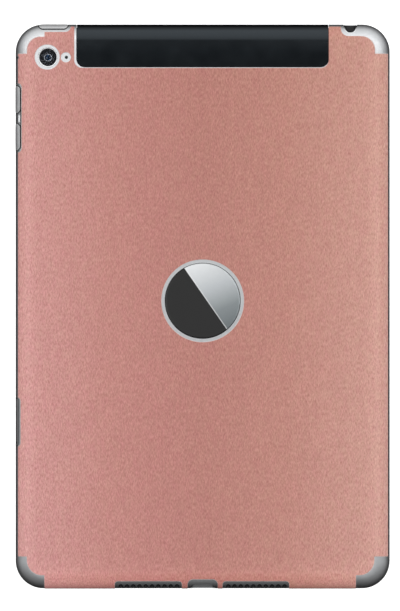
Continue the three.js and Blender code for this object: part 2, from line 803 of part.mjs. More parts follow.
place('battery_board', box([-12, 12], [58.6, 63.6], [3.2, 4.2]), boardGreen);
place('battery_tail', box([12, 48.2], [59.8, 62.4], [3.5, 3.9]), copperFlex);
place('logic_board', logicBoard(), boardGreen);
place('processor', box([50, 61], [-2, 9], [2.85, BOARD_Z[0]]), blackPlastic);
place('memory_chip', box([50.5, 60.5], [14, 26], [2.85, BOARD_Z[0]]), blackPlastic);
place('radio_chip', box([51, 60], [44, 53], [2.85, BOARD_Z[0]]), blackPlastic);
place('board_shield_lower', shield(-60, -24), steel);
place('board_shield_middle', shield(-16, 30), steel);
place('board_shield_upper', shield(38, 72), steel);
place('display_tail', box([38, 56], [76, 79.5], [2.66, 2.8]), copperFlex);

[[-63.1, 36], [-63.1, -8], [63.1, 36], [63.1, -8]].forEach(([x, y], i) => {
  place(`cover_magnet_${i + 1}`, magnet(x, y), magnetNickel);
});
plainScrews.forEach((at, i) => {
  place(`screw_${i + 1}`, screw(at), steel);
});

export default tablet;
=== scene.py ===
import json
import math

import bmesh
import bpy
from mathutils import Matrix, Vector

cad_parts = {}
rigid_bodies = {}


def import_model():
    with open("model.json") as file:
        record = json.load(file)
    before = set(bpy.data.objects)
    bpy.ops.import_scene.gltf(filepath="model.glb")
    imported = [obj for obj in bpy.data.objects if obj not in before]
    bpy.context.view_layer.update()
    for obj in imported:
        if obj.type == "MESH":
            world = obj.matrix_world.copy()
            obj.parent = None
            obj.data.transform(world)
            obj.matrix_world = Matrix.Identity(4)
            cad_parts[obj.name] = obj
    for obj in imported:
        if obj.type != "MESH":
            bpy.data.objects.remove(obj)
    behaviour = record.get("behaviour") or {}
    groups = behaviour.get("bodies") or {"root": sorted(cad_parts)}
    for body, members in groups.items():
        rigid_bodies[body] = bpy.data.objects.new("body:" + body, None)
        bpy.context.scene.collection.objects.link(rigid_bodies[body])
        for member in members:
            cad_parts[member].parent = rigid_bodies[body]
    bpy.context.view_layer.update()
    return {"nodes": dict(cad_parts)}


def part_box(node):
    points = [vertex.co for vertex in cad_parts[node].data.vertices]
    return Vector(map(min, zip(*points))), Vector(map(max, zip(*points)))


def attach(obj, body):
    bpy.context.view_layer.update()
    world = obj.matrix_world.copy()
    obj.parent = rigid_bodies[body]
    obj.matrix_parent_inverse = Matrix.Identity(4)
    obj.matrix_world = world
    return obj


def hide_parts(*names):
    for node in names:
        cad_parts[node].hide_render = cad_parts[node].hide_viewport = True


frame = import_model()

# A tablet computer lying on its glass, seen from straight above its back.
# Lengths here are millimetres in the row frame; MM turns them into Blender's metres.
MM = 0.001


def box(node):
    """Lowest and highest corner of a CAD node, in millimetres."""
    low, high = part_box(node)
    return low / MM, high / MM


# ---------- sizes taken from the frame ----------

SHELL_LOW, SHELL_HIGH = box("rear_shell")
HALF_W = SHELL_HIGH.x
HALF_L = SHELL_HIGH.y
BACK_Z = SHELL_HIGH.z
RIM_Z = SHELL_LOW.z

# The body's form: corner arcs, rim chamfer, upright side, then a quarter ellipse on to the back
CORNER_R = 10
RIM_CHAMFER = 0.5
SIDE_TOP_Z = 1.5
EDGE_RUN = 6
EDGE_RISE = BACK_Z - SIDE_TOP_Z
CORNER_STEPS = 24
EDGE_STEPS = 26
WALL = 3.4
CEILING_Z = BACK_Z - 0.9
GLASS_SEAT_Z = 1.1
GLASS_SEAT_INSET = 0.9

# How far cutters reach past the body
FAR = 20
OUTSIDE = 3

WINDOW_LOW, WINDOW_HIGH = box("antenna_window")
WINDOW_GAP = 0.2
WINDOW_R = 2.9

BADGE_LOW, BADGE_HIGH = box("badge_inlay")
BADGE_Y = (BADGE_LOW.y + BADGE_HIGH.y) / 2
BADGE_R = BADGE_HIGH.x
BADGE_GAP = 0.15

RING_LOW, RING_HIGH = box("rear_camera_ring")
CAMERA_X = (RING_LOW.x + RING_HIGH.x) / 2
CAMERA_Y = (RING_LOW.y + RING_HIGH.y) / 2
CAMERA_RING_R = (RING_HIGH.x - RING_LOW.x) / 2
CAMERA_GLASS_R = 3.1
RING_GAP = 0.03
MIC_LOW, MIC_HIGH = box("rear_microphone")
MIC_X = (MIC_LOW.x + MIC_HIGH.x) / 2
MIC_R = 0.6
SIDE_MIC_Z = 3.6
SIDE_MIC_R = 0.4

BUTTON_Z = 3.3
BUTTON_HALF_H = 1.45
BUTTON_GAP = 0.25
BUTTON_PROUD = 0.09
POWER_X = (-59, -48.5)
VOLUME_UP_Y = (69.5, 79.45)
VOLUME_DOWN_Y = (56.1, 65.8)
STEM_INSET = 1.5
STEM_HALF_H = 0.9
FLANGE_HALF_H = 1.8
FLANGE_DEPTH = 0.5

# Between the volume slots, measured in from the left side
GROOVE_IN = (1.8, 2.12)
GROOVE_Z = 4.4
SHELF_IN = 1.65
SHELF_Z = 4.15

TRAY_LOW, TRAY_HIGH = box("sim_tray")
TRAY_HALF_H = (TRAY_HIGH.z - TRAY_LOW.z) / 2
TRAY_GAP = 0.2
TRAY_PLATE_X = -65.9
TRAY_Z = 3
TRAY_FRAME_Y = (-47.8, -34.2)
TRAY_FRAME_Z = (2.9, 3.8)
EJECT_Y = -49.1

JACK_LOW, JACK_HIGH = box("headphone_jack")
JACK_X = (JACK_LOW.x + JACK_HIGH.x) / 2
JACK_Z = 3.2
JACK_R = 2.0
JACK_LIP = 0.4
LIP_DEPTH = 0.3
PORT_Z = 3.15
PORT_HALF_W = 4.2
PORT_HALF_H = 1.3
PORT_LIP = 0.22
PORT_END_Y = -91.8
TONGUE_Y = (-98.6, -91.5)
TONGUE_HALF_W = 3.3
TONGUE_HALF_H = 0.45
PIN_Y = (-98.3, -92.4)
PIN_PITCH = 0.75
PIN_COUNT = 8
SOUND_X = 19.35
SOUND_Z = 3.85
SOUND_R = 0.82
SOUND_PITCH = 2.25
SOUND_COUNT = 10

FILM_GAP = 0.03
FILM_TOP = box("vinyl_wrap")[1].z - BACK_Z
CORE_TOP = 0.13
# How far the paler lower layer shows round the film's cut-outs, as a painted highlight of the cut edges.
PAINTED_RIM_WIDTH = 0.12
FILM_LEFT_Z = 4.2
FILM_RIGHT_Z = 3.9
FILM_TOP_EDGE_Z = 4.15
FILM_BOTTOM_Z = 2.4

# ---------- mesh helpers ----------


def link(name, mesh):
    piece = bpy.data.objects.new(name, mesh)
    bpy.context.scene.collection.objects.link(piece)
    return piece


def solid(name, points, faces):
    """A closed mesh from millimetre points, with its faces pointing out."""
    mesh = bpy.data.meshes.new(name)
    mesh.from_pydata([Vector(p) * MM for p in points], [], faces)
    bm = bmesh.new()
    bm.from_mesh(mesh)
    bmesh.ops.recalc_face_normals(bm, faces=bm.faces)
    bm.to_mesh(mesh)
    bm.free()
    return link(name, mesh)


def stack(name, rings):
    """Rings of the same length joined into a closed form, with a flat cap at each end."""
    count = len(rings[0])
    points = [p for ring in rings for p in ring]
    faces = [list(range(count))[::-1], [len(points) - count + i for i in range(count)]]
    for r in range(len(rings) - 1):
        for i in range(count):
            j = (i + 1) % count
            faces.append([r * count + i, r * count + j, (r + 1) * count + j, (r + 1) * count + i])
    return solid(name, points, faces)


def round_rect(u0, v0, u1, v1, r, steps=10):
    """Points round a rectangle with round corners, anticlockwise."""
    points = []
    centres = [(u1 - r, v1 - r), (u0 + r, v1 - r), (u0 + r, v0 + r), (u1 - r, v0 + r)]
    for quarter, (u, v) in enumerate(centres):
        for step in range(steps + 1):
            angle = (quarter + step / steps) * math.pi / 2
            points.append((u + r * math.cos(angle), v + r * math.sin(angle)))
    return points


def pill(u0, u1, v, half, grow=0.0):
    r = half + grow
    return round_rect(u0 - grow, v - r, u1 + grow, v + r, r * 0.999)


def circle(u, v, r, steps=48):
    turn = [i / steps * math.tau for i in range(steps)]
    return [(u + r * math.cos(a), v + r * math.sin(a)) for a in turn]


def placed(axis, u, v, w):
    """A point drawn in the plane across an axis, at w along it."""
    return {"X": (w, u, v), "Y": (u, w, v), "Z": (u, v, w)}[axis]


def prism(name, outline, low, high, axis="Z"):
    return stack(name, [[placed(axis, u, v, w) for u, v in outline] for w in (low, high)])


def turned(name, profile, centre, axis="Z", steps=96):
    """A form turned about an axis through centre, from [radius, height] points. It closes on itself."""
    points, faces, rings = [], [], []
    for radius, height in profile:
        if radius == 0:
            rings.append([len(points)])
            points.append(placed(axis, centre[0], centre[1], height))
        else:
            rings.append(list(range(len(points), len(points) + steps)))
            points += [placed(axis, u, v, height) for u, v in circle(*centre, radius, steps)]
    for low, high in zip(rings, rings[1:] + rings[:1]):
        if len(low) == 1 and len(high) == 1:
            continue
        for i in range(steps):
            j = (i + 1) % steps
            corners = [low[i % len(low)], low[j % len(low)], high[j % len(high)], high[i % len(high)]]
            faces.append(list(dict.fromkeys(corners)))
    return solid(name, points, faces)


def body_outline(inset):
    r = CORNER_R - inset
    return round_rect(inset - HALF_W, inset - HALF_L, HALF_W - inset, HALF_L - inset, r, CORNER_STEPS)


def body_form(name, offset=0.0):
    """The body's outer form, moved out by offset."""
    stations = [(RIM_CHAMFER - offset, RIM_Z), (0.12 - offset, RIM_Z + 0.38), (-offset, RIM_Z + 0.62)]
    for step in range(EDGE_STEPS + 1):
        angle = step / EDGE_STEPS * math.pi / 2
        inset = (EDGE_RUN + offset) * (1 - math.cos(angle)) - offset
        stations.append((inset, SIDE_TOP_Z + (EDGE_RISE + offset) * math.sin(angle)))
    stations.append((EDGE_RUN + 0.4, stations[-1][1]))
    return stack(name, [[(x, y, z) for x, y in body_outline(inset)] for inset, z in stations])


def apply_modifiers(piece):
    graph = bpy.context.evaluated_depsgraph_get()
    done = bpy.data.meshes.new_from_object(piece.evaluated_get(graph), depsgraph=graph)
    piece.modifiers.clear()
    piece.data = done
    return piece


def carve(piece, cutters, operation="DIFFERENCE"):
    """Cuts each cutter from piece, or keeps what they share, and removes the cutters."""
    for cutter in cutters:
        cut = piece.modifiers.new("cut", "BOOLEAN")
        cut.solver = "EXACT"
        cut.operation = operation
        cut.object = cutter
        cut.material_mode = "TRANSFER"
    apply_modifiers(piece)
    for cutter in cutters:
        bpy.data.objects.remove(cutter)
    return piece


def joined(name, parts):
    """Parts that don't touch, as one object."""
    bm = bmesh.new()
    for part in parts:
        bm.from_mesh(part.data)
        bpy.data.objects.remove(part)
    mesh = bpy.data.meshes.new(name)
    bm.to_mesh(mesh)
    bm.free()
    return link(name, mesh)


def bevelled(piece, width, segments=3, angle=40):
    bevel = piece.modifiers.new("bevel", "BEVEL")
    bevel.width = width * MM
    bevel.segments = segments
    bevel.limit_method = "ANGLE"
    bevel.angle_limit = math.radians(angle)
    return apply_modifiers(piece)


def smooth(piece, angle=32):
    for face in piece.data.polygons:
        face.use_smooth = True
    piece.data.set_sharp_from_angle(angle=math.radians(angle))
    return piece


def piece_of(obj, name, body, slot, material, *stands_for):
    """Names a finished piece and ties it to its body, finish and CAD nodes."""
    obj.name = name
    obj.data.name = name
    if material is not None:
        with_material(obj, material)
    smooth(obj)
    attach(obj, body)
    if stands_for:
        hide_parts(*stands_for)
    return obj


# ---------- material helpers ----------


class Look:
    """A Principled material whose detail comes from patterns fixed to the object."""

    def __init__(self, name, color, roughness, metallic=0.0, **sockets):
        self.material = bpy.data.materials.new(name + "_finish")
        self.material.use_nodes = True
        self.nodes = self.material.node_tree.nodes
        self.links = self.material.node_tree.links
        self.shader = self.nodes["Principled BSDF"]
        self.shader.inputs["Base Color"].default_value = (*color, 1)
        self.shader.inputs["Roughness"].default_value = roughness
        self.shader.inputs["Metallic"].default_value = metallic
        for key, value in sockets.items():
            self.shader.inputs[key.replace("_", " ")].default_value = value
        self.place = self.nodes.new("ShaderNodeTexCoord").outputs["Object"]
        self.material.diffuse_color = (*color, 1)

    def node(self, kind, **values):
        made = self.nodes.new(kind)
        for key, value in values.items():
            setattr(made, key, value)
        return made

    def stretched(self, stretch):
        mapping = self.node("ShaderNodeMapping")
        mapping.inputs["Scale"].default_value = stretch
        self.links.new(self.place, mapping.inputs["Vector"])
        return mapping.outputs["Vector"]

    def noise(self, scale, stretch=(1, 1, 1), detail=3.0, roughness=0.5):
        """Noise with features about 1/scale metres across."""
        noise = self.node("ShaderNodeTexNoise")
        noise.inputs["Scale"].default_value = scale
        noise.inputs["Detail"].default_value = detail
        noise.inputs["Roughness"].default_value = roughness
        self.links.new(self.stretched(stretch), noise.inputs["Vector"])
        return noise.outputs["Fac"]

    def ramp(self, source, stops):
        """Colours along a value, from (position, colour) stops."""
        ramp = self.node("ShaderNodeValToRGB")
        elements = ramp.color_ramp.elements
        while len(elements) < len(stops):
            elements.new(0.5)
        for element, (position, color) in zip(elements, stops):
            element.position = position
            element.color = (*color, 1)
        self.links.new(source, ramp.inputs["Fac"])
        return ramp.outputs["Color"]

    def spread(self, source, low, high, start=0.3, end=0.7):
        """A value turned into the range from low to high."""
        spread = self.node("ShaderNodeMapRange")
        for key, value in (("From Min", start), ("From Max", end), ("To Min", low), ("To Max", high)):
            spread.inputs[key].default_value = value
        self.links.new(source, spread.inputs["Value"])
        return spread.outputs["Result"]

    def math(self, operation, a, b):
        node = self.node("ShaderNodeMath", operation=operation)
        for socket, value in zip(node.inputs, (a, b)):
            if isinstance(value, (int, float)):
                socket.default_value = value
            else:
                self.links.new(value, socket)
        return node.outputs["Value"]

    def axis(self, name):
        """X, Y or Z of the point, in metres."""
        split = self.node("ShaderNodeSeparateXYZ")
        self.links.new(self.place, split.inputs["Vector"])
        return split.outputs[name]

    def mix(self, factor, a, b, blend="MIX"):
        mix = self.node("ShaderNodeMix", data_type="RGBA", blend_type=blend)
        for socket, value in ((mix.inputs["Factor"], factor), (mix.inputs["A"], a), (mix.inputs["B"], b)):
            if isinstance(value, (int, float)):
                socket.default_value = value
            elif isinstance(value, tuple):
                socket.default_value = (*value, 1)
            else:
                self.links.new(value, socket)
        return mix.outputs["Result"]

    def color(self, source):
        self.links.new(source, self.shader.inputs["Base Color"])
        return self

    def rough(self, source):
        self.links.new(source, self.shader.inputs["Roughness"])
        return self

    def bump(self, source, height):
        """Relief of the given height in millimetres."""
        bump = self.node("ShaderNodeBump")
        bump.inputs["Distance"].default_value = height * MM
        self.links.new(source, bump.inputs["Height"])
        self.links.new(bump.outputs["Normal"], self.shader.inputs["Normal"])
        return self


def mottled(name, color, roughness, metallic=0.0, scale=600, amount=0.12, relief=0.01,
            stretch=(1, 1, 1), **sockets):
    """A plain material with slight mottling in its colour, gloss and surface."""
    look = Look(name, color, roughness, metallic, **sockets)
    grain = look.noise(scale, stretch)
    darker = tuple(c * (1 - amount) for c in color)
    lighter = tuple(min(1, c * (1 + amount)) for c in color)
    look.color(look.ramp(grain, [(0.3, darker), (0.7, lighter)]))
    gloss = look.noise(scale / 3, stretch)
    look.rough(look.spread(gloss, max(0, roughness - 0.06), min(1, roughness + 0.06)))
    look.bump(grain, relief)
    return look.material


# ---------- materials ----------


def anodised_aluminium():
    look = Look("anodised_aluminium", (0.7, 0.715, 0.73), 0.42, 0.95)
    look.color(look.ramp(look.noise(900), [(0.3, (0.68, 0.695, 0.71)), (0.7, (0.72, 0.735, 0.75))]))
    look.rough(look.spread(look.noise(2500), 0.38, 0.46))
    look.bump(look.noise(4000, detail=1), 0.0012)
    return look.material


def polished_edge():
    return mottled("polished_edge", (0.93, 0.94, 0.95), 0.12, 1.0, scale=4000, amount=0.03, relief=0.001)


# Near-black painted shade for the walls of holes, slots and grooves and the sides of caps.
def painted_shade():
    return mottled("painted_shade", (0.012, 0.013, 0.015), 0.6, scale=900, amount=0.3)


# Film colour across the width: pinker to the left, sandier to the right, with painted sheen paling it
# towards both long edges.
FILM_HUE_AND_PAINTED_SHEEN = [
    (0.0, (0.96, 0.49, 0.46)),
    (0.02, (0.86, 0.425, 0.395)),
    (0.06, (0.75, 0.346, 0.32)),
    (0.25, (0.658, 0.28, 0.244)),
    (0.36, (0.621, 0.254, 0.221)),
    (0.5, (0.587, 0.24, 0.20)),
    (0.72, (0.631, 0.2755, 0.224)),
    (0.93, (0.722, 0.358, 0.297)),
    (0.98, (0.836, 0.439, 0.367)),
    (1.0, (0.98, 0.56, 0.50)),
]
# Painted light along the length: the film lifted towards the bottom, most along the bottom edge.
FILM_PAINTED_LIGHT_ALONG = [
    (0.0, (1.57, 1.57, 1.61)),
    (0.015, (1.4, 1.38, 1.41)),
    (0.035, (1.12, 1.11, 1.13)),
    (0.055, (1.08, 1.065, 1.08)),
    (1.0, (1.05, 1.02, 0.985)),
]


def rose_film():
    """Pearl vinyl: pinker to the left, sandier to the right, with a fine upright brushed grain. Painted
    sheen makes it paler towards both long edges, and painted light lifts it towards the bottom, most along
    the bottom edge.
    """
    look = Look("rose_film", (0.55, 0.25, 0.21), 0.45)
    across = look.spread(look.axis("X"), 0, 1, -HALF_W * MM, HALF_W * MM)
    base = look.ramp(across, FILM_HUE_AND_PAINTED_SHEEN)
    along = look.spread(look.axis("Y"), 0, 1, -HALF_L * MM, HALF_L * MM)
    with_painted_light = look.mix(1.0, base, look.ramp(along, FILM_PAINTED_LIGHT_ALONG), "MULTIPLY")
    grain = look.noise(2400, (1.25, 0.36, 1), detail=4, roughness=0.65)
    streak = look.noise(1500, (1, 0.06, 1), detail=2)
    cloud = look.noise(260, (1, 0.5, 1), detail=2)
    hue = look.noise(700, (1, 0.5, 1), detail=2)
    tone = with_painted_light
    for pattern, stops in (
        (grain, [(0.25, (0.64, 0.46, 0.44)), (0.75, (1.18, 1.37, 1.39))]),
        (hue, [(0.3, (1.0, 0.95, 0.98)), (0.7, (1.0, 1.05, 1.0))]),
        (streak, [(0.3, (0.98, 0.975, 0.975)), (0.7, (1.02, 1.025, 1.025))]),
        (cloud, [(0.3, (0.98, 0.98, 0.98)), (0.7, (1.02, 1.02, 1.02))]),
    ):
        tone = look.mix(1.0, tone, look.ramp(pattern, stops), "MULTIPLY")
    look.color(tone)
    look.rough(look.spread(grain, 0.4, 0.52))
    look.bump(grain, 0.004)
    return look.material


# The film's paler lower layer; its thin rim round the cut-outs is a painted highlight of cut edges catching
# light.
def painted_rim_film():
    return mottled("painted_rim_film", (0.80, 0.68, 0.65), 0.5, scale=1500, amount=0.05)


def black_window():
    """Smooth black plastic, with a painted reflection making it a little paler where it rolls over the top
    edge, and painted shade darkening the very rim.
    """
    look = Look("black_window", (0.003, 0.0045, 0.006), 0.14, IOR=1.6, Specular_Tint=(0.78, 0.9, 1, 1))
    ripple = look.noise(140, detail=2)
    along = look.spread(look.axis("Y"), 0, 1, (HALF_L - 15) * MM, HALF_L * MM)
    # Painted reflection: a paler band along the rolling top edge; painted shade at the rim.
    base = look.ramp(along, [
        (0.0, (0.0014, 0.0024, 0.0034)),
        (0.25, (0.002, 0.0032, 0.0045)),
        (0.42, (0.006, 0.008, 0.010)),
        (0.55, (0.009, 0.011, 0.013)),
        (0.8, (0.007, 0.009, 0.011)),
        (0.91, (0.004, 0.005, 0.006)),
        (0.94, (0.0006, 0.0008, 0.001)),
        (1.0, (0.0004, 0.0004, 0.0005)),
    ])
    speckle = look.ramp(look.noise(1200), [(0.3, (0.85, 0.85, 0.85)), (0.7, (1.15, 1.15, 1.15))])
    look.color(look.mix(1.0, base, speckle, "MULTIPLY"))
    look.rough(look.spread(ripple, 0.12, 0.16))
    look.bump(ripple, 0.002)
    return look.material


def badge_metal():
    """Polished plate with a painted reflection split along a slant: a dark field, and a pale metal one that
    deepens downwards, with a painted highlight line along the split.
    """
    look = Look("badge_metal", (0.5, 0.52, 0.53), 0.3, 0.35)
    x = look.axis("X")
    y = look.math("SUBTRACT", look.axis("Y"), BADGE_Y * MM)
    slant = look.math("ADD", look.math("MULTIPLY", x, 0.821), look.math("MULTIPLY", y, 0.571))
    # The dark field, the pale side's fall to grey and the bright line along the split are painted
    # reflection on one polished plate.
    field = look.spread(slant, 0, 1, 1.2 * MM, 1.35 * MM)
    painted_glint = look.spread(slant, 1, 0, 1.35 * MM, 1.7 * MM)
    fall = look.math("SUBTRACT", look.math("MULTIPLY", y, 0.92), look.math("MULTIPLY", x, 0.39))
    painted_reflection = look.ramp(look.spread(fall, 0, 1, -BADGE_R * MM, BADGE_R * MM), [
        (0.0, (0.14, 0.16, 0.17)),
        (0.3, (0.26, 0.29, 0.30)),
        (0.6, (0.55, 0.58, 0.60)),
        (1.0, (0.90, 0.92, 0.93)),
    ])
    lined = look.mix(look.math("MULTIPLY", painted_glint, 0.7), painted_reflection, (0.92, 0.93, 0.94))
    tone = look.mix(field, (0.012, 0.012, 0.012), lined)
    satin = look.noise(700)
    even = look.ramp(satin, [(0.3, (0.99, 0.99, 0.99)), (0.7, (1.01, 1.01, 1.01))])
    look.color(look.mix(1.0, tone, even, "MULTIPLY"))
    look.rough(look.spread(satin, 0.298, 0.302))
    return look.material


def brushed_steel(name="brushed_steel", color=(0.62, 0.64, 0.66), stretch=(1, 0.06, 1)):
    return mottled(name, color, 0.3, 1.0, scale=2500, amount=0.1, relief=0.002, stretch=stretch)


def lens_glass():
    look = Look("lens_glass", (0.9, 0.92, 0.95), 0.03, IOR=1.22, Transmission_Weight=1.0)
    look.rough(look.spread(look.noise(500), 0.0, 0.05))
    return look.material


def camera_black():
    """Black surround of the lens, with a greyer stop ring between two darker ones."""
    look = Look("camera_black", (0.004, 0.004, 0.005), 0.4, Specular_IOR_Level=0.15)
    x = look.math("SUBTRACT", look.axis("X"), CAMERA_X * MM)
    y = look.math("SUBTRACT", look.axis("Y"), CAMERA_Y * MM)
    squared = look.math("ADD", look.math("MULTIPLY", x, x), look.math("MULTIPLY", y, y))
    reach = look.spread(look.math("SQRT", squared, 0), 0, 1, 0, CAMERA_GLASS_R * MM)
    rings = look.ramp(reach, [
        (0.0, (0.012, 0.014, 0.02)),
        (0.35, (0.016, 0.02, 0.026)),
        (0.37, (0.24, 0.25, 0.27)),
        (0.43, (0.26, 0.27, 0.29)),
        (0.46, (0.016, 0.017, 0.02)),
        (0.8, (0.009, 0.009, 0.011)),
        (1.0, (0.002, 0.002, 0.002)),
    ])
    grain = look.ramp(look.noise(3000), [(0.3, (0.85, 0.85, 0.85)), (0.7, (1.15, 1.15, 1.15))])
    look.color(look.mix(1.0, rings, grain, "MULTIPLY"))
    return look.material


def lens_dome():
    look = Look("lens_dome", (0.02, 0.03, 0.08), 0.05, Specular_IOR_Level=0.2)
    look.color(look.ramp(look.noise(400), [(0.3, (0.006, 0.014, 0.03)), (0.7, (0.012, 0.026, 0.05))]))
    return look.material


def cover_glass():
    look = Look("cover_glass", (0.95, 0.97, 0.98), 0.02, IOR=1.52, Transmission_Weight=1.0)
    look.rough(look.spread(look.noise(60, detail=5), 0.0, 0.08))
    return look.material


def circuit_board():
    """Green solder mask with paler copper lines under it."""
    look = Look("circuit_board", (0.02, 0.09, 0.06), 0.4)
    tracks = look.node("ShaderNodeTexBrick", offset=0.37)
    tracks.inputs["Scale"].default_value = 260
    tracks.inputs["Mortar Size"].default_value = 0.05
    tracks.inputs["Color1"].default_value = (0.018, 0.085, 0.055, 1)
    tracks.inputs["Color2"].default_value = (0.024, 0.105, 0.07, 1)
    tracks.inputs["Mortar"].default_value = (0.06, 0.2, 0.13, 1)
    look.links.new(look.place, tracks.inputs["Vector"])
    look.color(tracks.outputs["Color"])
    look.rough(look.spread(look.noise(800), 0.35, 0.5))
    look.bump(look.noise(1800), 0.005)
    return look.material


def speaker_cloth():
    """Fine woven acoustic mesh."""
    look = Look("speaker_cloth", (0.02, 0.02, 0.022), 0.8)
    weave = look.node("ShaderNodeTexChecker")
    weave.inputs["Scale"].default_value = 6000
    weave.inputs["Color1"].default_value = (0.012, 0.012, 0.013, 1)
    weave.inputs["Color2"].default_value = (0.05, 0.05, 0.052, 1)
    look.links.new(look.place, weave.inputs["Vector"])
    look.color(weave.outputs["Color"])
    look.bump(weave.outputs["Fac"], 0.02)
    return look.material


ALUMINIUM = anodised_aluminium()
BUTTON = mottled("button_metal", (0.88, 0.89, 0.9), 0.42, 0.6, scale=900, amount=0.03, relief=0.001)
POLISHED = polished_edge()
PAINTED_SHADE = painted_shade()
FILM = rose_film()
PAINTED_RIM = painted_rim_film()
WINDOW = black_window()
BADGE = badge_metal()
STEEL = brushed_steel()
SATIN = mottled("satin_metal", (0.84, 0.85, 0.86), 0.4, 0.95, scale=3000, amount=0.02, relief=0.001)
LENS = lens_glass()
DOME = lens_dome()
GLASS = cover_glass()
BOARD = circuit_board()
CLOTH = speaker_cloth()
LINER = mottled("port_liner", (0.2, 0.205, 0.21), 0.4, 0.95, scale=2000, amount=0.05, relief=0.001)
BLACK = mottled("black_plastic", (0.016, 0.016, 0.018), 0.45, scale=1200, amount=0.2)
GLOSS_BLACK = mottled("gloss_black", (0.010, 0.010, 0.012), 0.12, scale=500, amount=0.1, relief=0.002)
INK = mottled("mask_ink", (0.006, 0.006, 0.007), 0.5, scale=2000, amount=0.2)
PANEL = mottled("display_panel", (0.008, 0.009, 0.012), 0.16, scale=5000, amount=0.25, relief=0.001)
DIFFUSER = mottled("diffuser", (0.78, 0.79, 0.8), 0.55, scale=900, amount=0.04)
GASKET = mottled("foam_gasket", (0.02, 0.02, 0.022), 0.9, scale=5000, amount=0.35, relief=0.03)
FLEX = mottled("copper_flex", (0.42, 0.19, 0.05), 0.35, scale=700, amount=0.15)
FOIL = mottled("cell_foil", (0.03, 0.032, 0.036), 0.35, 0.5, scale=220, amount=0.3, relief=0.03)
NICKEL = mottled("nickel", (0.62, 0.61, 0.58), 0.22, 1.0, scale=1500, amount=0.08)
GOLD = mottled("gold_contact", (0.83, 0.6, 0.25), 0.25, 1.0, scale=1500, amount=0.08)
CARD = mottled("card_plastic", (0.75, 0.76, 0.78), 0.5, scale=1500, amount=0.05)

# ---------- rear shell ----------


def shell_tub(name):
    return carve(body_form(name), [
        prism("cavity", body_outline(WALL), -1, CEILING_Z),
        prism("glass_seat", body_outline(GLASS_SEAT_INSET), -1, GLASS_SEAT_Z),
    ])


def window_outline(grow):
    half = WINDOW_HIGH.x + grow
    return round_rect(-half, WINDOW_LOW.y - grow, half, HALF_L + FAR, WINDOW_R + grow)


def jack_outline(grow):
    """The jack's hole: a circle squared a little, its lowest part flattened above the glass's seat."""
    r = JACK_R + grow
    squareness = 0.72
    wider = 0.06
    lowest = GLASS_SEAT_Z + 0.15
    points = []
    for u, v in circle(0, 0, 1, 72):
        x = math.copysign(abs(u) ** squareness, u) * (r + wider)
        z = math.copysign(abs(v) ** squareness, v) * r
        points.append((JACK_X + x, max(JACK_Z + z, lowest)))
    return points


def sound_holes(name):
    holes = []
    for side in (-1, 1):
        for i in range(SOUND_COUNT):
            x = side * SOUND_X + (i - (SOUND_COUNT - 1) / 2) * SOUND_PITCH
            outline = circle(x, SOUND_Z, SOUND_R, 24)
            holes.append(prism("hole", outline, -HALF_L - OUTSIDE, WALL - HALF_L + 1, "Y"))
    return joined(name, holes)


def with_material(piece, material):
    piece.data.materials.clear()
    piece.data.materials.append(material)
    return piece


def lip(outline, depth, low, high, axis, material):
    """A cutter for a step of even depth that follows the edge, within an outline."""
    cutter = carve(prism("lip", outline, low, high, axis), [body_form("inner", -depth)])
    return with_material(cutter, material)


def rear_shell():
    shell = with_material(shell_tub("shell"), ALUMINIUM)
    left = (-HALF_W - OUTSIDE, WALL - HALF_W + 1)
    top = (HALF_L - WALL - 1, HALF_L + OUTSIDE)
    bottom = (-HALF_L - OUTSIDE, WALL - HALF_L + 1)
    port = (-PORT_HALF_W, PORT_HALF_W, PORT_Z, PORT_HALF_H)
    slot = (BUTTON_Z, BUTTON_HALF_H, BUTTON_GAP)
    carve(shell, [
        # The window's hole gets walls painted dark as shade.
        with_material(prism("window_hole", window_outline(WINDOW_GAP), -2, FAR), PAINTED_SHADE),
        lip(jack_outline(JACK_LIP), LIP_DEPTH, HALF_L - EDGE_RUN, top[1], "Y", POLISHED),
        lip(pill(*port, PORT_LIP), LIP_DEPTH, bottom[0], EDGE_RUN - HALF_L, "Y", ALUMINIUM),
        with_material(prism("port", pill(*port), *bottom, "Y"), LINER),
    ])
    holes = joined("holes", [
        prism("jack", jack_outline(0), *top, "Y"),
        prism("power", pill(*POWER_X, *slot), *top, "Y"),
        prism("up", pill(*VOLUME_UP_Y, *slot), *left, "X"),
        prism("down", pill(*VOLUME_DOWN_Y, *slot), *left, "X"),
        prism("side_mic", circle(CAMERA_Y, SIDE_MIC_Z, SIDE_MIC_R, 24), *left, "X"),
        prism("tray", pill(TRAY_LOW.y, TRAY_HIGH.y, TRAY_Z, TRAY_HALF_H, TRAY_GAP), *left, "X"),
        prism("badge", circle(0, BADGE_Y, BADGE_R + BADGE_GAP, 128), BADGE_LOW.z, FAR),
        prism("camera", circle(CAMERA_X, CAMERA_Y, CAMERA_RING_R + RING_GAP, 96), CEILING_Z - 1, FAR),
        prism("mic", circle(MIC_X, CAMERA_Y, MIC_R, 32), CEILING_Z - 1, FAR),
        sound_holes("sound"),
    ])
    # The holes' walls are painted dark as shade.
    carve(shell, [with_material(holes, PAINTED_SHADE)])
    volume_web(shell)
    return piece_of(shell, "rear_shell_fine", "chassis", "anodised_aluminium", None, "rear_shell")


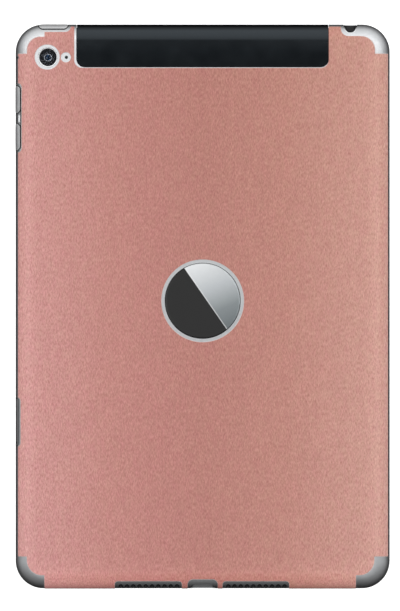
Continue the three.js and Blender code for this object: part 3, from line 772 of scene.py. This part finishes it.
def volume_web(shell):
    """The bridge between the volume slots: a flat shelf, with a groove behind it that joins the slots, its
    walls painted dark as shade.
    """
    low = VOLUME_DOWN_Y[1] + BUTTON_GAP
    high = VOLUME_UP_Y[0] - BUTTON_GAP
    into_slot = 1.45
    clear = 0.3
    inner, outer = (across - HALF_W for across in GROOVE_IN)
    groove = round_rect(inner, low - into_slot, outer, high + into_slot, 0.05, 2)
    carve(shell, [with_material(prism("groove", groove, GROOVE_Z, FAR), PAINTED_SHADE)])
    shelf = round_rect(-HALF_W - 1, low + clear, SHELF_IN - HALF_W, high - clear, 0.05, 2)
    carve(shell, [with_material(prism("shelf", shelf, SHELF_Z, FAR), SATIN)])


def antenna_window():
    window = carve(shell_tub("window"), [prism("keep", window_outline(0), -2, FAR)], "INTERSECT")
    return piece_of(window, "antenna_window_fine", "chassis", "black_window", WINDOW, "antenna_window")


# ---------- vinyl wrap ----------


def bare_corner(name, sx, sy, stop, inner, inner_r, grow):
    """A corner left bare: past two stop lines and outside the rounded inner edge."""
    reach = HALF_L + FAR
    xs = sorted((sx * (stop[0] - grow), sx * reach))
    ys = sorted((sy * (stop[1] - grow), sy * reach))
    square = prism(name, [(xs[0], ys[0]), (xs[1], ys[0]), (xs[1], ys[1]), (xs[0], ys[1])], -2, FAR)
    half_x = inner[0] - grow
    half_y = inner[1] - grow
    kept = prism("kept", round_rect(-half_x, -half_y, half_x, half_y, inner_r, 16), -3, FAR + 1)
    return carve(square, [kept])


def wrap_layer(name, low, high, grow):
    """One layer of the film, with its cut-outs grown by grow."""
    layer = carve(body_form(name, high), [body_form("under", low)])
    wide = HALF_W + FAR
    far = HALF_L + FAR
    straight = HALF_L - CORNER_R
    top_grow = 1.7 * grow
    carve(layer, [
        prism("left", round_rect(-wide, -straight, -FAR, straight, 0.1, 1), -2, FILM_LEFT_Z + grow),
        prism("right", round_rect(FAR, -straight, wide, straight, 0.1, 1), -2, FILM_RIGHT_Z + grow),
        prism("top", round_rect(-wide, straight - 0.5, wide, far, 0.1, 1), -2, FILM_TOP_EDGE_Z + grow),
        prism("bottom", round_rect(-wide, -far, wide, 0.5 - straight, 0.1, 1), -2, FILM_BOTTOM_Z + grow),
        bare_corner("top_left", -1, 1, (57, 91), (63.3, 97.1), 4.8, top_grow),
        bare_corner("top_right", 1, 1, (57, 91), (62.1, 97.3), 5, top_grow),
        bare_corner("bottom_left", -1, -1, (57, 90), (63.3, 96.75), 5.5, grow),
        bare_corner("bottom_right", 1, -1, (55.2, 90), (61.8, 96.75), 5.5, grow),
    ])
    top = HALF_L + 5
    left = -HALF_W - 5
    through = -2
    back_only = 2
    cuts = [
        ("window", through, round_rect(-46.2, 85.75, 45.35, far, WINDOW_R)),
        ("camera", back_only, circle(CAMERA_X - 0.25, CAMERA_Y + 0.1, 4.45 + grow, 96)),
        ("mic", back_only, circle(MIC_X - 0.2, CAMERA_Y, 1.75 + grow, 64)),
        ("badge", back_only, circle(0, BADGE_Y, BADGE_R + 1.3 + grow, 128)),
        ("power", through, round_rect(-64, 98.8 - grow, -47.5 + grow, top, 2 + grow)),
        ("jack", through, round_rect(49.8 - grow, 97.3 - grow, 64, top, 2.6 + grow)),
        ("speaker_left", through, round_rect(-31.6 - grow, -top, -7.5 + grow, 2.7 - HALF_L + grow, 1.2)),
        ("speaker_right", through, round_rect(7.2 - grow, -top, 31.1 + grow, 2.7 - HALF_L + grow, 1.2)),
        ("port", through, round_rect(-5.4 - grow, -top, 5.4 + grow, 3.4 - HALF_L + grow, 2)),
        ("volume", through, round_rect(left, 55.4 - grow, 2.2 - HALF_W + grow, 80.3 + grow, 1.6)),
        ("tray", through, round_rect(left, -50.4 - grow, 1.8 - HALF_W + grow, -32.8 + grow, 1.4)),
        ("side_mic", through, round_rect(left, CAMERA_Y - 0.6, 1.25 - HALF_W, CAMERA_Y + 0.6, 0.55)),
    ]
    return carve(layer, [prism(cut, outline, bottom, FAR) for cut, bottom, outline in cuts])


def vinyl_wrap():
    # The upper layer's cut-outs are grown so a thin rim of the paler lower layer shows: a painted highlight
    # along the cut edges.
    core = wrap_layer("core", FILM_GAP, CORE_TOP, 0.0)
    piece_of(core, "wrap_core", "chassis", "rose_vinyl", PAINTED_RIM)
    film = wrap_layer("film", CORE_TOP, FILM_TOP, PAINTED_RIM_WIDTH)
    piece_of(film, "wrap_film", "chassis", "rose_vinyl", FILM, "vinyl_wrap")


# ---------- inlay, camera and microphone ----------


def badge():
    edge = 0.25
    profile = [(0, BADGE_LOW.z), (BADGE_R, BADGE_LOW.z), (BADGE_R, BACK_Z - edge)]
    for step in range(1, 5):
        angle = step / 4 * math.pi / 2
        profile.append((BADGE_R - edge * (1 - math.cos(angle)), BACK_Z - edge * (1 - math.sin(angle))))
    profile += [(BADGE_R - 0.6, BACK_Z), (0, BACK_Z)]
    plate = turned("badge", profile, (0, BADGE_Y), steps=160)
    piece_of(plate, "badge_plate", "chassis", "badge_metal", BADGE, "badge_inlay")


def rear_camera():
    centre = (CAMERA_X, CAMERA_Y)
    r = CAMERA_RING_R
    inner = CAMERA_GLASS_R + 0.03
    ring = turned("ring", [
        (inner, RING_LOW.z), (r, RING_LOW.z), (r, BACK_Z - 0.05), (r - 0.05, BACK_Z),
        (r - 0.12, BACK_Z), (inner + 0.06, BACK_Z - 0.06), (inner, BACK_Z - 0.14),
    ], centre)
    piece_of(ring, "camera_ring_fine", "chassis", "steel", SATIN, "rear_camera_ring")
    low, high = box("rear_camera_glass")
    pane = turned("pane", [
        (0, low.z), (CAMERA_GLASS_R, low.z), (CAMERA_GLASS_R, high.z - 0.06),
        (CAMERA_GLASS_R - 0.06, high.z), (CAMERA_GLASS_R - 0.3, high.z), (0, high.z),
    ], centre)
    piece_of(pane, "camera_glass_fine", "chassis", "camera_glass", LENS, "rear_camera_glass")
    pane.visible_shadow = False
    low, high = box("rear_camera_barrel")
    top = high.z
    barrel = turned("barrel", [
        (1.05, low.z), (3.0, low.z), (3.0, top), (2.3, top), (2.2, top - 0.1), (1.95, top - 0.1),
        (1.85, top - 0.02), (1.5, top - 0.02), (1.4, top - 0.14), (1.2, top - 0.14), (1.05, top - 0.25),
    ], centre)
    piece_of(barrel, "camera_barrel_fine", "chassis", "black_plastic", camera_black(), "rear_camera_barrel")
    dome = turned("dome", [(0, low.z)] + [
        (1.0 * math.sin(a), low.z + 0.05 + 0.3 * math.cos(a))
        for a in (math.pi / 2 * (1 - step / 8) for step in range(8))
    ] + [(0, low.z + 0.35)], centre)
    piece_of(dome, "camera_dome", "chassis", "camera_glass", DOME)


# ---------- buttons and SIM tray ----------


def cap_of(name, outline, low, high, axis, proud, material):
    """A cap whose face follows the body's edge, standing a little proud, with its sides painted dark as
    shade in its slot.
    """
    cap = with_material(prism(name, outline, low, high, axis), PAINTED_SHADE)
    cap = carve(cap, [with_material(body_form("form", proud), material)], "INTERSECT")
    return bevelled(cap, 0.1, 3, 50)


def buttons():
    flange_z = (BUTTON_Z - FLANGE_HALF_H, BUTTON_Z + FLANGE_HALF_H)
    low, high = box("power_button")
    face = pill(*POWER_X, BUTTON_Z, BUTTON_HALF_H)
    cap = cap_of("cap", face, HALF_L - 2.2, HALF_L + 2, "Y", BUTTON_PROUD, BUTTON)
    core = pill(POWER_X[0] + STEM_INSET, POWER_X[1] - STEM_INSET, BUTTON_Z, STEM_HALF_H)
    stem = prism("stem", core, low.y + 0.25, HALF_L - 2, "Y")
    plate = round_rect(low.x, flange_z[0], high.x, flange_z[1], 0.5)
    flange = prism("flange", plate, low.y, low.y + FLANGE_DEPTH, "Y")
    carve(cap, [with_material(stem, BLACK), with_material(flange, BLACK)], "UNION")
    piece_of(cap, "power_button_fine", "power_button", "anodised_aluminium", None, "power_button")
    for body, (y0, y1) in (("volume_up_button", VOLUME_UP_Y), ("volume_down_button", VOLUME_DOWN_Y)):
        low, high = box(body)
        face = pill(y0, y1, BUTTON_Z, BUTTON_HALF_H)
        cap = cap_of("cap", face, -HALF_W - 2, -HALF_W + 2.2, "X", BUTTON_PROUD, BUTTON)
        core = pill(y0 + STEM_INSET, y1 - STEM_INSET, BUTTON_Z, STEM_HALF_H)
        stem = prism("stem", core, -HALF_W + 2, high.x - 0.25, "X")
        plate = round_rect(low.y, flange_z[0], high.y, flange_z[1], 0.5)
        flange = prism("flange", plate, high.x - FLANGE_DEPTH, high.x, "X")
        carve(cap, [with_material(stem, BLACK), with_material(flange, BLACK)], "UNION")
        piece_of(cap, body + "_fine", body, "anodised_aluminium", None, body)


def sim_tray():
    outline = pill(TRAY_LOW.y, TRAY_HIGH.y, TRAY_Z, TRAY_HALF_H)
    plate = cap_of("plate", outline, -HALF_W - 2, TRAY_PLATE_X, "X", 0, ALUMINIUM)
    rim = round_rect(TRAY_PLATE_X - 0.3, TRAY_FRAME_Y[0], TRAY_HIGH.x, TRAY_FRAME_Y[1], 0.25)
    body = prism("frame", rim, *TRAY_FRAME_Z)
    low, high = box("sim_card")
    fit = 0.15
    ledge = 0.8
    bed = round_rect(low.x - fit, low.y - fit, high.x + fit, high.y + fit, 0.3)
    pocket = prism("pocket", bed, low.z, FAR)
    opening = round_rect(low.x + ledge, low.y + ledge, high.x - ledge, high.y - ledge, 0.4)
    through = prism("through", opening, 0, FAR)
    for part in (body, pocket, through):
        with_material(part, ALUMINIUM)
    carve(plate, [body], "UNION")
    # The eject pin's hole is painted dark as shade.
    pin = prism("pin", circle(EJECT_Y, TRAY_Z, 0.5, 32), -HALF_W - 2, TRAY_PLATE_X + 1, "X")
    carve(plate, [pocket, through, with_material(pin, PAINTED_SHADE)])
    piece_of(plate, "sim_tray_fine", "sim_tray", "anodised_aluminium", None, "sim_tray")
    sim_card(low, high)


def sim_card(low, high):
    clipped = 1.6
    pad_h = 0.03
    outline = [
        (low.x, low.y), (high.x, low.y), (high.x, high.y - clipped),
        (high.x - clipped, high.y), (low.x, high.y),
    ]
    card = bevelled(prism("card", outline, low.z, high.z - pad_h), 0.2, 2)
    piece_of(card, "sim_card_fine", "sim_tray", "card_plastic", CARD, "sim_card")
    pads = []
    for row in range(2):
        for column in range(3):
            x = low.x + 2 + row * 3.2
            y = low.y + 2 + column * 2.6
            pads.append(prism("pad", round_rect(x, y, x + 2.6, y + 2.1, 0.3, 4), high.z - pad_h, high.z))
    piece_of(joined("pads", pads), "sim_card_pads", "sim_tray", "card_plastic", GOLD)


# ---------- sockets and loudspeaker mesh ----------


def headphone_jack():
    low, high = JACK_LOW, JACK_HIGH
    outline = round_rect(low.x, low.z, high.x, high.z, 1.2)
    housing = bevelled(prism("housing", outline, low.y, high.y, "Y"), 0.2)
    with_material(housing, BLACK)
    bore_r = 1.75
    # The bore's walls are painted dark as shade.
    bore = prism("bore", circle(JACK_X, JACK_Z, bore_r, 64), low.y + 1, high.y + 1, "Y")
    carve(housing, [with_material(bore, PAINTED_SHADE)])
    piece_of(housing, "headphone_jack_fine", "chassis", "black_plastic", None, "headphone_jack")
    springs = []
    for along in (2.5, 6, 9.5):
        y = high.y - along
        spring = circle(JACK_X, JACK_Z - bore_r, 0.35, 20)
        springs.append(prism("spring", spring, y - 0.6, y + 0.6, "Y"))
    piece_of(joined("springs", springs), "jack_contacts", "chassis", "steel", GOLD)


def charging_port():
    low, high = box("charging_port")
    outline = round_rect(low.x, low.z, high.x, high.z, 1.4)
    housing = bevelled(prism("housing", outline, low.y, high.y, "Y"), 0.2)
    with_material(housing, STEEL)
    mouth = prism("mouth", pill(-PORT_HALF_W, PORT_HALF_W, PORT_Z, PORT_HALF_H), low.y - 1, PORT_END_Y, "Y")
    carve(housing, [mouth])
    piece_of(housing, "charging_port_fine", "chassis", "steel", None, "charging_port")
    top = PORT_Z + TONGUE_HALF_H
    blade = round_rect(-TONGUE_HALF_W, PORT_Z - TONGUE_HALF_H, TONGUE_HALF_W, top, 0.3)
    tongue = bevelled(prism("tongue", blade, *TONGUE_Y, "Y"), 0.1)
    piece_of(tongue, "port_tongue", "chassis", "steel", DIFFUSER)
    pins = []
    for i in range(PIN_COUNT):
        x = (i - (PIN_COUNT - 1) / 2) * PIN_PITCH
        strip = round_rect(x - 0.24, top, x + 0.24, top + 0.05, 0.02, 2)
        pins.append(prism("pin", strip, *PIN_Y, "Y"))
    piece_of(joined("pins", pins), "port_contacts", "chassis", "steel", GOLD)


def speaker_mesh():
    for name in ("speaker_mesh_left", "speaker_mesh_right"):
        low, high = box(name)
        outline = round_rect(low.x, low.z, high.x, high.z, 0.6)
        sheet = bevelled(prism("sheet", outline, low.y, high.y, "Y"), 0.08)
        piece_of(sheet, name + "_fine", "chassis", "speaker_mesh", CLOTH, name)


# ---------- glass side ----------


def cover_plate():
    high = box("cover_glass")[1]
    inset = HALF_W - high.x
    home_low, home_high = box("home_button_ring")
    home_y = (home_low.y + home_high.y) / 2
    hole_r = home_high.x + 0.15
    edge = 0.3
    rings = []
    for shrink, z in ((edge, 0), (0.09, 0.09), (0, edge), (0, high.z)):
        rings.append([(x, y, z) for x, y in body_outline(inset + shrink)])
    glass = stack("glass", rings)
    carve(glass, [prism("home", circle(0, home_y, hole_r, 96), -1, 2)])
    piece_of(glass, "cover_glass_fine", "chassis", "cover_glass", GLASS, "cover_glass")
    glass.visible_shadow = False
    return home_y


def home_button(home_y):
    low, high = box("home_button")
    ring_low, ring_high = box("home_button_ring")
    r = -ring_low.x - 0.5
    rise = 0.25
    stem_r = 6.2
    stem_z = 0.95
    angles = [math.pi / 2 * step / 12 for step in range(13)]
    profile = [(r * math.sin(a), low.z + rise * math.cos(a) ** 2) for a in angles]
    profile += [(r, stem_z), (stem_r, stem_z), (stem_r, high.z), (0, high.z)]
    button = turned("button", profile, (0, home_y))
    piece_of(button, "home_button_fine", "home_button", "home_face", GLOSS_BLACK, "home_button")
    inner = r + 0.08
    outer = ring_high.x
    ring = turned("ring", [
        (inner, ring_low.z + 0.05), (inner + 0.1, ring_low.z), (outer - 0.12, ring_low.z),
        (outer, ring_low.z + 0.12), (outer, ring_high.z), (inner, ring_high.z),
    ], (0, home_y))
    piece_of(ring, "home_ring_fine", "home_button", "steel", POLISHED, "home_button_ring")


# ---------- inner parts keep their CAD form ----------

INNER_LOOKS = {
    "bezel_mask": INK,
    "glass_gasket": GASKET,
    "display_panel": PANEL,
    "display_backlight": DIFFUSER,
    "home_switch": STEEL,
    "home_flex": FLEX,
    "front_camera": BLACK,
    "rear_camera_module": BLACK,
    "rear_microphone": BLACK,
    "side_microphone": BLACK,
    "power_switch": STEEL,
    "volume_switches": STEEL,
    "sim_reader": STEEL,
    "port_bracket": STEEL,
    "loudspeaker": BLACK,
    "battery_cell": FOIL,
    "antenna": FLEX,
    "battery_board": BOARD,
    "battery_tail": FLEX,
    "logic_board": BOARD,
    "processor": BLACK,
    "memory_chip": BLACK,
    "radio_chip": BLACK,
    "board_shield": STEEL,
    "display_tail": FLEX,
    "cover_magnet": NICKEL,
    "screw": NICKEL,
}


def dress_inner_parts():
    for name, node in frame["nodes"].items():
        for start, look in INNER_LOOKS.items():
            if name.startswith(start) and name != "antenna_window":
                node.data.materials.clear()
                node.data.materials.append(look)


# ---------- stage, lights and camera ----------


def pale_paper():
    """The stage's paper: pale, and bright enough to read as a white sweep."""
    look = Look("pale_paper", (0.92, 0.92, 0.92), 0.9)
    grain = look.noise(60, detail=4)
    look.color(look.ramp(grain, [(0.3, (0.90, 0.90, 0.90)), (0.7, (0.94, 0.94, 0.94))]))
    look.shader.inputs["Emission Color"].default_value = (1, 1, 1, 1)
    look.shader.inputs["Emission Strength"].default_value = 0.85
    return look.material


def stage():
    """A flat floor that curves up into a wall all round, far away."""
    floor_r = 5000
    curve_r = 900
    wall_top = 5000
    steps = 96
    profile = [(0, 0), (300, 0), (floor_r, 0)]
    for step in range(1, 9):
        angle = step / 8 * math.pi / 2
        profile.append((floor_r + curve_r * math.sin(angle), curve_r * (1 - math.cos(angle))))
    profile.append((floor_r + curve_r, wall_top))
    points = [(0, 0, 0)]
    for radius, height in profile[1:]:
        points += [(x, y, height) for x, y in circle(0, 0, radius, steps)]
    faces = [[0, 1 + i, 1 + (i + 1) % steps] for i in range(steps)]
    for ring in range(len(profile) - 2):
        for i in range(steps):
            j = (i + 1) % steps
            low = 1 + ring * steps
            faces.append([low + i, low + steps + i, low + steps + j, low + j])
    mesh = bpy.data.meshes.new("sweep")
    mesh.from_pydata([Vector(p) * MM for p in points], [], faces)
    sweep = link("sweep", mesh)
    for face in mesh.polygons:
        face.use_smooth = True
    mesh.materials.append(pale_paper())
    sweep.location.z = -0.02 * MM
    sweep.visible_glossy = False
    sweep.visible_diffuse = False
    sweep.visible_transmission = False


def linked_group(name, state):
    """The bare metal pieces as a group that a light either serves or leaves out."""
    group = bpy.data.collections.new(name)
    for piece in bpy.data.objects:
        if piece.name in METAL_PIECES:
            group.objects.link(piece)
    for member in group.collection_objects:
        member.light_linking.link_state = state
    return group


def softbox(name, place, aim, size, radiance, receivers):
    """A soft rectangular light at place, turned towards aim, equally bright per area whatever its size."""
    light = bpy.data.lights.new(name, "AREA")
    light.shape = "RECTANGLE"
    light.size, light.size_y = size
    light.energy = radiance * math.pi * size[0] * size[1]
    holder = bpy.data.objects.new(name, light)
    holder.location = place
    holder.rotation_euler = (Vector(aim) - Vector(place)).to_track_quat("-Z", "Y").to_euler()
    holder.visible_camera = False
    holder.light_linking.receiver_collection = receivers
    bpy.context.scene.collection.objects.link(holder)


METAL_PIECES = ("rear_shell_fine", "camera_ring_fine", "power_button_fine", "volume_up_button_fine",
                "volume_down_button_fine", "sim_tray_fine")


def lights():
    """Two high boxes for all but the metal, and a row of low ones for the metal, brightest at the top."""
    others = linked_group("all_but_metal", "EXCLUDE")
    metal = linked_group("metal_only", "INCLUDE")
    for side in (-1, 1):
        softbox("overhead_box", (side * 0.48, 0, 1.2), (0, 0, 0), (0.35, 0.6), 4.5, others)
    boxes = ((0.17, (0.8, 0.2), 1.05), (0.0, (0.4, 0.14), 0.08), (-0.17, (0.3, 0.2), 0.34))
    for y, size, radiance in boxes:
        softbox("metal_box", (0, y, 0.3), (0, y, 0), size, radiance, metal)


# Brightness of the sky against how far its direction leans to either side, along the length and up
SKY_ACROSS = [(0.0, 0.1), (0.12, 0.3), (0.3, 0.42), (0.6, 0.5), (0.85, 0.4), (1.0, 0.25)]
SKY_SIDE_FADE = [(0.0, 0.1), (0.25, 0.2), (0.42, 0.35), (0.5, 0.55), (0.56, 0.9), (0.7, 1.3)]
SKY_ALONG = [
    (0.0, 0.08), (0.15, 0.16), (0.25, 0.24), (0.37, 0.36), (0.5, 0.55),
    (0.63, 0.72), (0.75, 0.95), (0.93, 1.08), (1.0, 0.9),
]
SKY_UP = [(0.0, 0.02), (0.16, 0.06), (0.36, 0.22), (0.64, 0.6), (0.94, 1.0)]
SKY_STRENGTH = 1.0
SKY_OVERHEAD = [(0.0, 1.0), (0.7, 1.0), (0.85, 0.8), (0.93, 0.4), (0.975, 0.14), (1.0, 0.1)]


def world():
    """Light from both long sides and the top edge's side, with a dim patch straight overhead."""
    made = bpy.data.worlds.new("studio")
    made.use_nodes = True
    nodes = made.node_tree.nodes
    links = made.node_tree.links
    split = nodes.new("ShaderNodeSeparateXYZ")
    links.new(nodes.new("ShaderNodeTexCoord").outputs["Generated"], split.inputs["Vector"])

    def operate(operation, a, b=0.0):
        node = nodes.new("ShaderNodeMath")
        node.operation = operation
        for socket, value in zip(node.inputs, (a, b)):
            if isinstance(value, float):
                socket.default_value = value
            else:
                links.new(value, socket)
        return node.outputs["Value"]

    def curve(source, stops):
        ramp = nodes.new("ShaderNodeValToRGB")
        while len(ramp.color_ramp.elements) < len(stops):
            ramp.color_ramp.elements.new(0.5)
        for element, (position, value) in zip(ramp.color_ramp.elements, stops):
            element.position = position
            element.color = (value, value, value, 1)
        links.new(source, ramp.inputs["Fac"])
        return ramp.outputs["Color"]

    lengthwise = operate("ADD", operate("MULTIPLY", split.outputs["Y"], 0.5), 0.5)
    height = operate("ADD", split.outputs["Z"], 0.5)
    near_top = operate("MULTIPLY", operate("SUBTRACT", split.outputs["Z"], 0.9), 10.0)
    across = curve(operate("ABSOLUTE", split.outputs["X"]), SKY_ACROSS)
    sides = operate("MULTIPLY", across, curve(lengthwise, SKY_SIDE_FADE))
    whole = operate("MAXIMUM", sides, curve(lengthwise, SKY_ALONG))
    lit = operate("MULTIPLY", whole, curve(height, SKY_UP))
    links.new(operate("MULTIPLY", lit, curve(near_top, SKY_OVERHEAD)), nodes["Background"].inputs["Color"])
    nodes["Background"].inputs["Strength"].default_value = SKY_STRENGTH
    bpy.context.scene.world = made


def camera():
    """Straight above the back, far away, so that it looks almost square on."""
    lens = 300
    sensor = 36
    view_height = 219.7
    shift_x = -0.96
    shift_y = 0.32
    distance = view_height / 2 / (sensor / 2 / lens) + BACK_Z
    data = bpy.data.cameras.new("camera")
    data.lens = lens
    data.sensor_width = sensor
    data.clip_start = 0.1
    data.clip_end = 20
    eye = bpy.data.objects.new("camera", data)
    eye.location = Vector((shift_x, shift_y, distance)) * MM
    bpy.context.scene.collection.objects.link(eye)
    bpy.context.scene.camera = eye


# ---------- build ----------

rear_shell()
antenna_window()
vinyl_wrap()
badge()
rear_camera()
buttons()
sim_tray()
headphone_jack()
charging_port()
speaker_mesh()
home_button(cover_plate())
dress_inner_parts()
stage()
lights()
world()
camera()
bpy.context.scene.view_settings.view_transform = "Standard"
